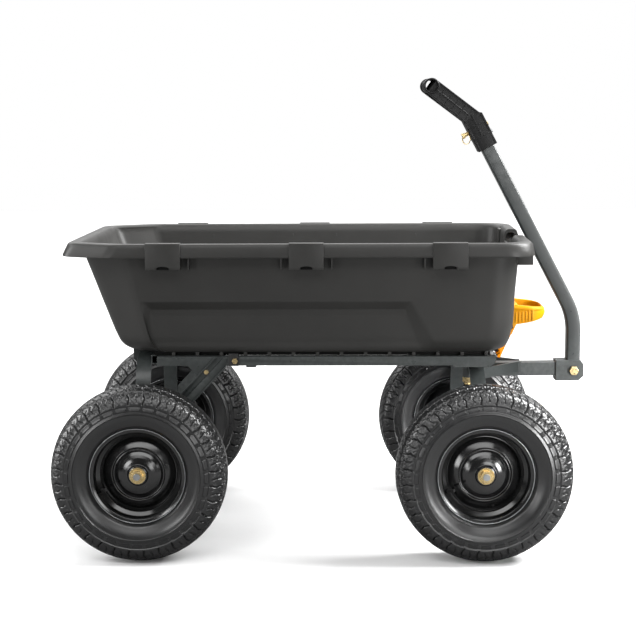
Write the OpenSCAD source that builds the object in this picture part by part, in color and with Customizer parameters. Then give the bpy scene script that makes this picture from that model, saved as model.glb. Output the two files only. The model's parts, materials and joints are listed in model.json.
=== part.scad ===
// Four-wheeled garden cart with a tipping tub, a steered front axle and a folding pull handle.
// +X runs forward, towards the handle, +Z is up, and the wheels stand on Z = 0. All sizes are in millimetres.

/* [Wheels] */
// Outside diameter of the tyre
tyre_d = 406; // [400:1:408]
// Width of the tyre across its sidewalls
tyre_w = 132; // [126:1:134]
// Distance from the rear axle to the kingpin
wheelbase = 773.5; // [770:0.5:777]
// Distance between the middles of the left and right tyres
track = 677; // [675:1:690]

/* [Chassis] */
// Height of the underside of the side rails
rail_z = 437; // [437:0.5:438]
// Height of a side rail's section
rail_h = 21; // [18:1:21]
// Width of a side rail's section
rail_w = 25; // [20:1:27]
// Wall of the rail and cross-member tubes
rail_t = 2; // [1.5:0.5:3]
// Width of the straps that the axle hoops are bent from
strap_w = 35; // [30:1:35]
// Thickness of the hoop straps
strap_t = 6; // [5:0.5:6]

/* [Tub] */
// Height of the underside of the tub's floor
floor_z = 473; // [473:0.5:475]
// Wall thickness of the tub
wall = 5; // [4:0.5:6]
// Height of the top of the rim
rim_z = 726; // [722:1:730]
// Half width of the gap in the front rim that clears the handle
notch = 95; // [80:1:120]

/* [Handle] */
// Width of the square tube of the tongue and the handle
tube = 33; // [30:0.5:33]
// Wall of that tube
tube_t = 2; // [1.5:0.5:3]
// Width of the grip across its bar
grip_w = 120; // [100:2:124]

/* [Steering] */
// Angle at which the front axle is parked, turning left
park = 2.6; // [0:0.1:3]

/* [Hidden] */

steel = "#4a5250";
zinc = "#c9a94e";
black = "#1c1c1d";
poly = "#3e3d3b";
yellow = "#f0b400";

axle_z = tyre_d / 2;
rear_x = -427;
king_x = rear_x + wheelbase;
hub_half = 38;            // half length of a wheel hub
axle_r = 8;               // stub that the bearings run on
rail_y = 258;             // outer face of the side rails
hinge_x = rear_x;         // tub hinge
hinge_z = 440;
latch_x = 447;            // latch pivot
latch_z = 500;

// Square prism from one corner to the other
module block(a, b) { translate(a) cube(b - a); }

// Cylinder along Y from y0 to y1
module yrod(x, z, r, y0, y1, fn = 48) { translate([x, y0, z]) rotate([-90, 0, 0]) cylinder(r = r, h = y1 - y0, $fn = fn); }

// Flat plate in the XZ plane from y0 to y1
module plate(pts, y0, y1) { translate([0, y1, 0]) rotate([90, 0, 0]) linear_extrude(y1 - y0) polygon(pts); }

// Mirrored copy on the other side
module both() { children(); mirror([0, 1, 0]) children(); }
module side(s) { if (s > 0) children(); else mirror([0, 1, 0]) children(); }

// Frame that turns with the front axle: u forward, v left, about the kingpin
module steered() { translate([king_x, 0, 0]) rotate([0, 0, park]) children(); }

// ---------------------------------------------------------------- chassis

module rail(s) {
  color(steel) side(s) {
    difference() {
      block([-393, rail_y - rail_w, rail_z], [394, rail_y, rail_z + rail_h]);
      block([-394, rail_y - rail_w + rail_t, rail_z + rail_t], [395, rail_y - rail_t, rail_z + rail_h - rail_t]);
      // front end cut back along its lower corner
      plate([[384.5, rail_z - 1], [396, rail_z - 1], [396, rail_z + 13]], rail_y - rail_w - 1, rail_y + 1);
      yrod(-211, rail_z + 12, 4, rail_y - rail_w - 1, rail_y + 1);
    }
    // welded tab under the rail
    block([-186, rail_y - 18, rail_z - 5], [-163, rail_y - 6, rail_z]);
  }
}

module crossmember(x0, x1) {
  color(steel) difference() {
    block([x0, -(rail_y - rail_w), rail_z], [x1, rail_y - rail_w, rail_z + rail_h]);
    block([x0 + rail_t, -300, rail_z + rail_t], [x1 - rail_t, 300, rail_z + rail_h - rail_t]);
  }
}
module front_crossmember() { crossmember(362, 384); }
module rear_crossmember() { crossmember(rear_x + strap_w / 2, rear_x + strap_w / 2 + 21); }

module upper_turntable() {
  color(steel) difference() {
    block([296, -rail_y, rail_z - 4], [384, rail_y, rail_z]);
    translate([king_x, 0, rail_z - 5]) cylinder(r = 8.06, h = 8, $fn = 64);
  }
}

// Outline of a hoop in the YZ plane, with arched top corners
module arch(half, top, r, foot) {
  translate([-half, foot]) square([2 * half, top - r - foot]);
  translate([-(half - r), foot]) square([2 * (half - r), top - foot]);
  for (s = [-1, 1]) translate([s * (half - r), top - r]) circle(r = r, $fn = 96);
}
module hoop(half, top, r) {
  foot = axle_z - 22;
  difference() {
    translate([-strap_w / 2, 0, 0]) rotate([90, 0, 90]) linear_extrude(strap_w) difference() {
      arch(half, top, r, foot);
      arch(half - strap_t, top - strap_t, r - strap_t, foot - 10);
      translate([-half - 1, foot - 200]) square([2 * half + 2, 200]);
    }
    yrod(0, axle_z, 12.5, -half - 1, half + 1, 64);
  }
}

module rear_hoop() { color(steel) translate([rear_x, 0, 0]) hoop(rail_y + 3, 461, 90); }

// Axle bar with turned stubs for the wheel hubs
module axle() {
  shoulder = track / 2 - hub_half - 0.4;
  yrod(0, axle_z, 12.5, -shoulder, shoulder, 64);
  both() yrod(0, axle_z, axle_r, shoulder - 1, track / 2 + hub_half + 16, 64);
}
module axle_nuts() {
  both() difference() {
    union() {
      yrod(0, axle_z, 14.5, track / 2 + hub_half + 0.4, track / 2 + hub_half + 12.4, 6);
      yrod(0, axle_z, 19, track / 2 + hub_half + 0.4, track / 2 + hub_half + 2.6);
    }
    yrod(0, axle_z, axle_r, 0, track);
  }
}
module rear_axle() { color("#8d9092") translate([rear_x, 0, 0]) axle(); }
module rear_axle_nuts() { color(zinc) translate([rear_x, 0, 0]) axle_nuts(); }

// Plate on the outside of a rail, with a lug down to the brace
module gusset(s) {
  color(steel) side(s) difference() {
    plate([[-393, rail_z], [-322, rail_z], [-296, 409], [-266, 409], [-243, rail_z - 4], [-243, rail_z + 18], [-393, rail_z + 18]],
          rail_y, rail_y + 3);
    yrod(-278, rail_z - 14, 4, rail_y - 1, rail_y + 4);
  }
}

// Channel brace from the hoop's leg up over the gusset, open side outward
brace_a = 46.6;
module brace(s) {
  y0 = rail_y + 3;
  color(steel) side(s) intersection() {
    difference() {
      translate([-271.5, 0, rail_z - 19.5]) rotate([0, -brace_a, 0]) difference() {
        block([-252, y0, -17.5], [100, y0 + 8, 17.5]);
        block([-270, y0 + 2.5, -14.7], [110, y0 + 9, 14.7]);
        block([-270, y0 + 1, 1.5], [110, y0 + 9, 3.5]);
      }
      yrod(-278, rail_z - 14, 4, y0 - 1, y0 + 9);
    }
    block([rear_x - strap_w / 2, 200, 200], [-232, 300, rail_z + 19]);
  }
}

// Blocks bolted over the rails that the tub's ribs sit between
module rest_blocks() {
  color(black) both() difference() {
    block([-226, rail_y, rail_z], [-203, rail_y + 6, rail_z + 29]);
    yrod(-211, rail_z + 12, 4, rail_y - 1, rail_y + 7);
  }
}

module frame_bolts() {
  color(zinc) both() {
    // through the rest block and the rail
    yrod(-211, rail_z + 12, 4, rail_y - rail_w - 8, rail_y + 6);
    yrod(-211, rail_z + 12, 7, rail_y + 6, rail_y + 11, 6);
    yrod(-211, rail_z + 12, 7, rail_y - rail_w - 6, rail_y - rail_w, 6);
    // through the lug and the brace
    yrod(-278, rail_z - 14, 4, rail_y - 9, rail_y + 5.5);
    yrod(-278, rail_z - 14, 5.8, rail_y + 5.5, rail_y + 10, 6);
    yrod(-278, rail_z - 14, 7, rail_y - 6, rail_y, 6);
  }
}

module hinge_lugs() {
  color(steel) both() difference() {
    union() {
      block([hinge_x - 12, 150, hinge_z], [hinge_x + 12, 156, 461 - strap_t]);
      yrod(hinge_x, hinge_z, 12, 150, 156);
    }
    yrod(hinge_x, hinge_z, 6, 149, 157, 64);
  }
}
module hinge_rod() { color("#8d9092") yrod(hinge_x, hinge_z, 6, -172, 172, 64); }
module rod_clips() {
  color(zinc) both() difference() {
    yrod(hinge_x, hinge_z, 10, 163, 166);
    yrod(hinge_x, hinge_z, 6, 162, 167, 64);
  }
}

// ---------------------------------------------------------------- steered front axle

front_top = 428.6;
module front_hoop() {
  color(steel) steered() difference() {
    hoop(rail_y + 3, front_top, 140);
    translate([0, 0, front_top - 20]) cylinder(r = 8, h = 40, $fn = 64);
  }
}
module front_axle() { color("#8d9092") steered() axle(); }
module front_axle_nuts() { color(zinc) steered() axle_nuts(); }

module lower_turntable() {
  color(steel) steered() difference() {
    union() {
      translate([0, 0, front_top]) cylinder(r = 55, h = 4, $fn = 96);
      // sleeve that holds the kingpin upright
      translate([0, 0, 366]) cylinder(r = 13, h = front_top - strap_t - 366, $fn = 64);
    }
    translate([0, 0, 360]) cylinder(r = 8, h = 80, $fn = 64);
  }
}
module kingpin() {
  color(zinc) steered() {
    translate([0, 0, 347]) cylinder(r = 8, h = rail_z + 0.4 - 347, $fn = 64);
    translate([0, 0, rail_z + 0.4]) cylinder(r = 13.5, h = 10, $fn = 6);
  }
}
module kingpin_nut() {
  color(zinc) steered() difference() {
    translate([0, 0, 353]) cylinder(r = 13.5, h = 13, $fn = 6);
    translate([0, 0, 340]) cylinder(r = 8, h = 60, $fn = 64);
  }
}

// Plates that spread from the tongue back to the hoop
module draw_plate(s) {
  color(steel) steered() side(s) {
    translate([0, 0, 380.5]) linear_extrude(26)
      polygon([[4, 118], [20, 118], [122, 21.6], [130, 21.6], [130, tube / 2], [118, tube / 2], [17, 112], [4, 112]]);
    difference() {
      block([4, 112, 404], [17, 118, front_top - strap_t]);
      yrod(10.5, 414, 3, 100, 130);
    }
  }
}

module square_tube(w, t, len) {
  difference() {
    translate([-w / 2, -w / 2, 0]) cube([w, w, len]);
    translate([-w / 2 + t, -w / 2 + t, -1]) cube([w - 2 * t, w - 2 * t, len + 2]);
  }
}

bolt_u = 259.5;           // clevis bolt, from the kingpin
bolt_z = 383;
module tongue() { color(steel) steered() translate([62, 0, 387]) rotate([0, 90, 0]) square_tube(tube, tube_t, 153); }

module clevis() {
  color(steel) steered() difference() {
    union() {
      block([215, -21.5, 358], [219, 21.5, 409]);
      both() plate([[217, 358], [272, 358], [284, 369], [284, 398], [276, 409], [217, 409]], 17, 21.5);
      // stop that the handle stands against
      block([217, -18, 405], [bolt_u - tube / 2 - 0.4, 18, 409]);
    }
    yrod(bolt_u, bolt_z, 7, -30, 30, 64);
  }
}
module clevis_bolt() {
  color(zinc) steered() {
    yrod(bolt_u, bolt_z, 7, -22, 36, 64);
    yrod(bolt_u, bolt_z, 12, -29.5, -21.5, 6);
  }
}
module clevis_nut() {
  color(zinc) steered() difference() {
    yrod(bolt_u, bolt_z, 12, 21.5, 32, 6);
    yrod(bolt_u, bolt_z, 7, 20, 40, 64);
  }
}

// ---------------------------------------------------------------- handle

lean = 27.65;             // lean of the upper handle
bend_r = 160;
knee_z = 519.6;           // where the two straight runs would meet
bend_t = bend_r * tan(lean / 2);
// Frame along the upper handle: z runs up the tube from the knee, x is its forward face's normal
module upper() { steered() translate([bolt_u, 0, knee_z]) rotate([0, -lean, 0]) children(); }

module handle_tube() {
  color(steel) difference() {
    union() {
      steered() translate([bolt_u, 0, 364]) square_tube(tube, tube_t, knee_z - bend_t - 364);
      steered() translate([bolt_u - bend_r, 0, knee_z - bend_t]) rotate([90, 0, 0]) rotate_extrude(angle = lean, $fn = 180)
        translate([bend_r, 0]) difference() {
          square([tube, tube], center = true);
          square([tube - 2 * tube_t, tube - 2 * tube_t], center = true);
        }
      upper() translate([0, 0, bend_t]) square_tube(tube, tube_t, 544 - bend_t);
    }
    steered() yrod(bolt_u, bolt_z, 10, -30, 30, 64);
    upper() translate([-40, 0, 518]) rotate([0, 90, 0]) cylinder(r = 5.05, h = 80, $fn = 64);
    upper() for (y = [-9, 9]) translate([5, y, 499]) rotate([0, 90, 0]) cylinder(r = 2.5, h = 40, $fn = 32);
  }
}
module handle_bush() {
  color("#8d9092") steered() difference() {
    yrod(bolt_u, bolt_z, 10, -tube / 2, tube / 2, 64);
    yrod(bolt_u, bolt_z, 7.05, -30, 30, 64);
  }
}

grip_bar = [-56, 663];    // middle of the grip's bar, in the upper handle's frame
module grip() {
  color(black) upper() difference() {
    union() {
      hull() for (x = [-21, 21], y = [-19, 19]) translate([x, y, 466]) cylinder(r = 4, h = 86, $fn = 24);
      // yoke that spreads from the sleeve to the bar
      for (s = [-1, 1]) hull() {
        translate([-20, s * 19, 553]) rotate([90, 0, 0]) cylinder(r = 4, h = 8, center = true, $fn = 24);
        translate([13, s * 19, 551]) rotate([90, 0, 0]) cylinder(r = 4, h = 8, center = true, $fn = 24);
        translate([grip_bar[0], s * (grip_w / 2 - 9), grip_bar[1]]) rotate([90, 0, 0]) cylinder(r = 15, h = 16, center = true, $fn = 32);
      }
      hull() {
        translate([-8, 0, 566]) cube([30, 44, 12], center = true);
        translate([0, 0, 548]) cube([44, 44, 8], center = true);
      }
      translate([grip_bar[0], grip_w / 2, grip_bar[1]]) rotate([90, 0, 0]) cylinder(r = 16.5, h = grip_w, $fn = 64);
    }
    translate([grip_bar[0], grip_w, grip_bar[1]]) rotate([90, 0, 0]) cylinder(r = 12.5, h = 2 * grip_w, $fn = 64);
    translate([-(tube + 0.4) / 2, -(tube + 0.4) / 2, 460]) cube([tube + 0.4, tube + 0.4, 84.4]);
    translate([-40, 0, 518]) rotate([0, 90, 0]) cylinder(r = 5.05, h = 80, $fn = 64);
    for (y = [-9, 9]) translate([5, y, 499]) rotate([0, 90, 0]) cylinder(r = 2.5, h = 40, $fn = 32);
  }
}
module grip_screws() {
  color("#8d9092") upper() for (y = [-9, 9]) translate([0, y, 499]) rotate([0, 90, 0]) {
    translate([0, 0, 12]) cylinder(r = 2.5, h = 14, $fn = 32);
    translate([0, 0, 25]) cylinder(r = 5.5, h = 3.6, $fn = 32);
  }
}

// Frame at the pull pin's ring: z is plumb and y runs along the hole for the ring
module at_ring() { upper() translate([-30.5, 0, 518]) rotate([0, lean, 0]) rotate([0, 0, 45]) children(); }
// Pull pin across the sleeve, with a ring through it
module hitch_pin() {
  color(zinc) difference() {
    upper() translate([0, 0, 518]) rotate([0, -90, 0]) {
      translate([0, 0, -28.5]) cylinder(r = 5, h = 65, $fn = 64);
      translate([0, 0, 36]) cylinder(r = 7, h = 6, $fn = 48);
    }
    at_ring() rotate([90, 0, 0]) cylinder(r = 2.3, h = 40, center = true, $fn = 32);
    // relief in the head for the ring
    at_ring() translate([0, 0, -11.45]) rotate([0, 90, 0]) rotate_extrude($fn = 64) translate([12, 0]) circle(r = 1.9, $fn = 24);
  }
}
module pin_ring() {
  color(zinc) at_ring() translate([0, 0, -11.45]) rotate([0, 90, 0]) rotate_extrude($fn = 64) translate([12, 0]) circle(r = 1.4, $fn = 24);
}

// ---------------------------------------------------------------- tub

// Outer profile of the tub: height above its underside, rear end, front end, half width
slices = [[0, -438, 398, 262], [9, -470, 419.5, 271], [28, -486.5, 428.5, 277], [65, -501.7, 435.2, 281], [121, -523, 438.4, 287],
          [249, -571, 447, 302]];
// the same inside, run on above the rim
slices_in = concat([[wall, -438, 398, 262]], [for (i = [1 : 5]) slices[i]], [[309, -593.5, 451, 309]]);
function corner(c, r, a0, a1) = [for (i = [0 : 8]) c + r * [cos(a0 + (a1 - a0) * i / 8), sin(a0 + (a1 - a0) * i / 8)]];
function round_box(x0, x1, h, r) = concat(corner([x1 - r, h - r], r, 0, 90), corner([x0 + r, h - r], r, 90, 180),
  corner([x0 + r, r - h], r, 180, 270), corner([x1 - r, r - h], r, 270, 360));
module bowl(list, inset) {
  hull() for (s = list) translate([0, 0, floor_z + s[0]]) linear_extrude(0.01)
    polygon(round_box(s[1] + inset, s[2] - inset, s[3] - inset, 58 - inset));
}

// Plan of the rim: chamfered rear corners and rounded front corners
function rim_half(x0, x1, h) = concat(
  [[x0, 0]], corner([x0 + 40, h - 83.4], 40, 180, 117), corner([x0 + 130, h - 60], 60, 117, 90), corner([x1 - 70, h - 70], 70, 90, 0), [[x1, 0]]);
module rim_plan(x0, x1, h) {
  p = rim_half(x0, x1, h);
  polygon(concat(p, [for (i = [len(p) - 2 : -1 : 1]) [p[i][0], -p[i][1]]]));
}

clip_x = [-367.3, -41.6, 284];
tub_bolt_at = [[-376, 152], [-340, 152], [384, 25]];
module tub() {
  color(poly) difference() {
    union() {
      bowl(slices, 0);
      // rim: flat top and turned-down lip
      translate([0, 0, rim_z - 5]) linear_extrude(5) rim_plan(-596, 472, 322);
      difference() {
        translate([0, 0, rim_z - 32]) linear_extrude(29) rim_plan(-606, 478, 326);
        translate([0, 0, rim_z - 40]) linear_extrude(35.01) rim_plan(-601, 473, 321);
      }
      // stops under the front corners of the rim
      both() block([436, 200, rim_z - 57], [478, 250, rim_z - 3]);
      // clips that stand out from the rim
      both() for (x = clip_x) block([x - 39.5, 292, rim_z - 58], [x + 39.5, 330, rim_z + 2]);
      // ribs that stand on the rails, tied along their inner ends
      both() for (i = [-4 : 9]) block([-178 + i * 56, 236, rail_z + rail_h + 0.4], [-178 + i * 56 + 50, 256, floor_z + 2]);
      both() block([-402, 230, rail_z + rail_h + 0.4], [376, 237, floor_z + 2]);
    }
    bowl(slices_in, wall);
    // gap in the front rim for the handle, as the tub tips and the axle steers
    block([350, -notch, rim_z - 29], [520, notch, 800]);
    block([456, -notch, 640], [520, notch, 800]);
    // holes for the bolts, let in for their heads
    both() for (q = tub_bolt_at) translate([q[0], q[1], 460]) {
      cylinder(r = 4, h = 30, $fn = 32);
      translate([0, 0, floor_z + wall - 3.3 - 460]) cylinder(r = 8.3, h = 10, $fn = 48);
    }
  }
}

// Strap under the floor with an ear that reaches round the hoop to the hinge rod
module hinge_bracket(s) {
  color(steel) side(s) difference() {
    union() {
      block([-462, 132, floor_z - 4], [-322, 172, floor_z]);
      plate([[-462, floor_z - 2], [-446.5, floor_z - 2], [-446.5, 452], [hinge_x, 452], [hinge_x, 428], [-452, 428], [-462, 438]], 157, 162);
      yrod(hinge_x, hinge_z, 12, 157, 162);
    }
    yrod(hinge_x, hinge_z, 6.05, 150, 170, 64);
    for (x = [-376, -340]) translate([x, 152, 460]) cylinder(r = 4, h = 30, $fn = 32);
  }
}

module tub_bolts() {
  color(zinc) {
    both() for (q = tub_bolt_at) translate([q[0], q[1], 0]) {
      translate([0, 0, floor_z - 12]) cylinder(r = 4, h = 12 + wall - 3.3, $fn = 32);
      translate([0, 0, floor_z + wall - 3.3]) cylinder(r = 8, h = 3, $fn = 32);
      translate([0, 0, floor_z - 10]) cylinder(r = 7.5, h = 6, $fn = 6);
    }
  }
}

// ---------------------------------------------------------------- latch

// Bent strap under the front of the tub, with a lip that the latch holds down
module latch_striker() {
  color(steel) difference() {
    union() {
      block([372, -40, floor_z - 4], [403, 40, floor_z]);
      block([400, -40, 440], [403, 40, floor_z]);
      block([400, -40, 440], [410.5, 40, 444.5]);
    }
    both() translate([384, 25, 460]) cylinder(r = 4, h = 30, $fn = 32);
  }
}
// Two ears on the front cross-member for the pivot
module latch_bracket() {
  color(steel) for (y = [-50, 50]) difference() {
    union() {
      plate([[384, 439], [384, 457.5], [400, 459], [409, 464], [440.5, 496], [453, 496], [448, 484], [428, 452], [414, 439]], y - 3, y + 3);
      yrod(latch_x, latch_z, 7, y - 3, y + 3);
    }
    yrod(latch_x, latch_z, 4, y - 9, y + 9);
  }
}
module latch_pivot() { color("#8d9092") yrod(latch_x, latch_z, 4, -62, 62, 64); }
module latch_spring() {
  color("#8d9092") difference() {
    yrod(latch_x, latch_z, 6.6, -8.4, 8.4);
    yrod(latch_x, latch_z, 4.4, -9, 9);
  }
}
// Plan of the lifting loop: straight back and rounded front corners
function loop_half(x0, x1, h, r) = concat([[x0, h]], corner([x1 - r, h - r], r, 90, 0));
module loop_plan(x0, x1, h, r) {
  p = loop_half(x0, x1, h, r);
  polygon(concat(p, [for (i = [len(p) - 1 : -1 : 0]) [p[i][0], -p[i][1]]]));
}
module latch_lever() {
  color(yellow) difference() {
    union() {
      // leg with the tooth that holds the striker's lip down
      plate([[449, 520], [461, 520], [458, 507], [454.5, 500], [445, 482], [431, 453], [424, 438], [420.5, 430.8], [414, 430.8], [414, 433],
             [417.5, 435.5], [417.5, 446], [412, 447], [412, 453], [419, 462], [427, 474], [436.5, 488], [438.8, 494], [439, 506], [443, 514]], -75, 75);
      // lifting loop
      intersection() {
        plate([[449, 512], [458, 507], [486, 511.5], [520, 518.5], [528, 526], [530.5, 535], [524, 545.5], [512, 549.5], [455, 555]], -75, 75);
        translate([0, 0, 490]) linear_extrude(90) difference() {
          loop_plan(440, 530.5, 75, 42);
          loop_plan(463, 521, 66, 33);
        }
      }
    }
    yrod(latch_x, latch_z, 4.05, -100, 100, 64);
    // slots for the bracket's ears and the spring
    for (y = [-50, 50]) block([400, y - 5.5, 420], [470, y + 5.5, 514]);
    block([400, -10, 486], [470, 10, 514]);
  }
}

// ---------------------------------------------------------------- wheels

// Tyre section: radius and offset from its middle, in proportion to its size
function ty(y) = y * tyre_w / 132;
function tr(r) = r > 130 ? r + tyre_d / 2 - 203 : r;
tyre_out = [[102, 36.4], [104.6, 39.4], [108, 40.4], [110.8, 41.6], [114, 48], [122, 57], [136, 63.8], [154, 66], [171, 64.2], [184, 58.5],
            [193, 50], [198.5, 39], [201.5, 26], [203, 10]];
tyre_in = [[102, 30], [112, 34], [125, 48], [140, 55], [155, 57], [170, 55], [182, 48], [190, 36], [194, 18]];
module tyre() {
  rotate([-90, 0, 0]) rotate_extrude($fn = 180) polygon(concat(
    [for (p = tyre_out) [tr(p[0]), ty(p[1])]], [for (i = [len(tyre_out) - 1 : -1 : 0]) [tr(tyre_out[i][0]), -ty(tyre_out[i][1])]],
    [for (p = tyre_in) [tr(p[0]), -ty(p[1])]], [for (i = [len(tyre_in) - 1 : -1 : 0]) [tr(tyre_in[i][0]), ty(tyre_in[i][1])]]));
}
module rim() {
  rotate([-90, 0, 0]) difference() {
    union() {
      rotate_extrude($fn = 120) polygon([[109.5, -44.5], [109.5, -42.4], [104, -40], [101.6, -37], [101.6, -24], [90, -16], [90, 16],
        [101.6, 24], [101.6, 37], [104, 40], [109.5, 42.4], [109.5, 44.5], [107, 44.5], [101.4, 42], [99, 38.5], [99, 25.5],
        [87.5, 17.5], [87.5, -17.5], [99, -25.5], [99, -38.5], [101.4, -42], [107, -44.5]]);
      rotate_extrude($fn = 120) polygon([[88.5, 6], [81, 8], [78.5, 16], [65, 16], [62, 11], [58, 13], [46, 23], [33, 28], [19, 29.5],
        [19, 26.5], [33, 25], [45, 20.2], [57, 10.4], [62.5, 8.2], [66.5, 13.2], [77, 13.2], [79.5, 5.4], [88.5, 3]]);
      rotate_extrude($fn = 96) polygon([[17.5, -hub_half], [21, -hub_half], [21, hub_half], [17.5, hub_half]]);
    }
    at_valve() cylinder(r = 4, h = 10, center = true, $fn = 32);
  }
}
// Valve axis, square to the slope of the rim's well
module at_valve() { rotate([0, 0, 156]) translate([93.3, 0, 20.7]) rotate([0, -34.55, 0]) children(); }
module valve() {
  rotate([-90, 0, 0]) at_valve() {
    translate([0, 0, -6]) cylinder(r = 4, h = 22, $fn = 32);
    translate([0, 0, 16]) cylinder(r = 3.2, h = 10, $fn = 32);
  }
}
module bearings() {
  rotate([-90, 0, 0]) for (s = [-1, 1]) rotate_extrude($fn = 96)
    polygon([[axle_r + 0.05, s * (hub_half - 12)], [17.5, s * (hub_half - 12)], [17.5, s * hub_half], [axle_r + 0.05, s * hub_half]]);
}
module at_wheel(front, s) {
  if (front) steered() side(s) translate([0, track / 2, axle_z]) children();
  else translate([rear_x, 0, 0]) side(s) translate([0, track / 2, axle_z]) children();
}

module tyre_at(f, s) { color("#161616") at_wheel(f, s) tyre(); }
module rim_at(f, s) { color(black) at_wheel(f, s) rim(); }
module bearings_at(f, s) { color("#8d9092") at_wheel(f, s) bearings(); }
module valve_at(f, s) { color("#202020") at_wheel(f, s) valve(); }

rail(1);  // rail_left
rail(-1);  // rail_right
front_crossmember();
rear_crossmember();
upper_turntable();
rear_hoop();
rear_axle();
rear_axle_nuts();
gusset(1);  // gusset_left
gusset(-1);  // gusset_right
brace(1);  // brace_left
brace(-1);  // brace_right
rest_blocks();
frame_bolts();
hinge_lugs();
hinge_rod();
rod_clips();
latch_striker();
lower_turntable();
front_hoop();
front_axle();
front_axle_nuts();
kingpin();
kingpin_nut();
draw_plate(1);  // draw_plate_left
draw_plate(-1);  // draw_plate_right
tongue();
clevis();
clevis_bolt();
clevis_nut();
handle_tube();
handle_bush();
grip();
grip_screws();
hitch_pin();
pin_ring();
tub();
hinge_bracket(1);  // hinge_bracket_left
hinge_bracket(-1);  // hinge_bracket_right
tub_bolts();
latch_bracket();
latch_pivot();
latch_spring();
latch_lever();
tyre_at(false, 1);  // tyre_rear_left
rim_at(false, 1);  // rim_rear_left
bearings_at(false, 1);  // bearings_rear_left
valve_at(false, 1);  // valve_rear_left
tyre_at(false, -1);  // tyre_rear_right
rim_at(false, -1);  // rim_rear_right
bearings_at(false, -1);  // bearings_rear_right
valve_at(false, -1);  // valve_rear_right
tyre_at(true, 1);  // tyre_front_left
rim_at(true, 1);  // rim_front_left
bearings_at(true, 1);  // bearings_front_left
valve_at(true, 1);  // valve_front_left
tyre_at(true, -1);  // tyre_front_right
rim_at(true, -1);  // rim_front_right
bearings_at(true, -1);  // bearings_front_right
valve_at(true, -1);  // valve_front_right
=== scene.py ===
import bpy
import bmesh
import json
import math
import numpy as np
from mathutils import Matrix, Vector


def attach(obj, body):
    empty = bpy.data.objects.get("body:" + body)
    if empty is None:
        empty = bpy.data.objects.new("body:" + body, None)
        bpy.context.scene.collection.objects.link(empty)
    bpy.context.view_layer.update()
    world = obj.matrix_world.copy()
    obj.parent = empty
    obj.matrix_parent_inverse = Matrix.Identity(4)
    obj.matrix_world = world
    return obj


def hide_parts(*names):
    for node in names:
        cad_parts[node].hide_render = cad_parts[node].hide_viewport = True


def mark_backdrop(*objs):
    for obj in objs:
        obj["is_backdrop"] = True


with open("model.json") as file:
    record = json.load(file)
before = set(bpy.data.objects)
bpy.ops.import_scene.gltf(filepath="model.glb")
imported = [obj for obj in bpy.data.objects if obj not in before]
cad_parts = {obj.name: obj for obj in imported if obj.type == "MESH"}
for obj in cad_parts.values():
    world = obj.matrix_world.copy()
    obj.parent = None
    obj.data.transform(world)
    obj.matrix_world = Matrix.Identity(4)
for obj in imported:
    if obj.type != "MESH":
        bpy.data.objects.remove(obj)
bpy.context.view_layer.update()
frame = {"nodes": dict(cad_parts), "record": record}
NODES = frame["nodes"]
BODY_OF = {n: b for b, ns in frame["record"]["behaviour"]["bodies"].items() for n in ns}
MM = 0.001


# ------------------------------------------------------------------ materials

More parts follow.
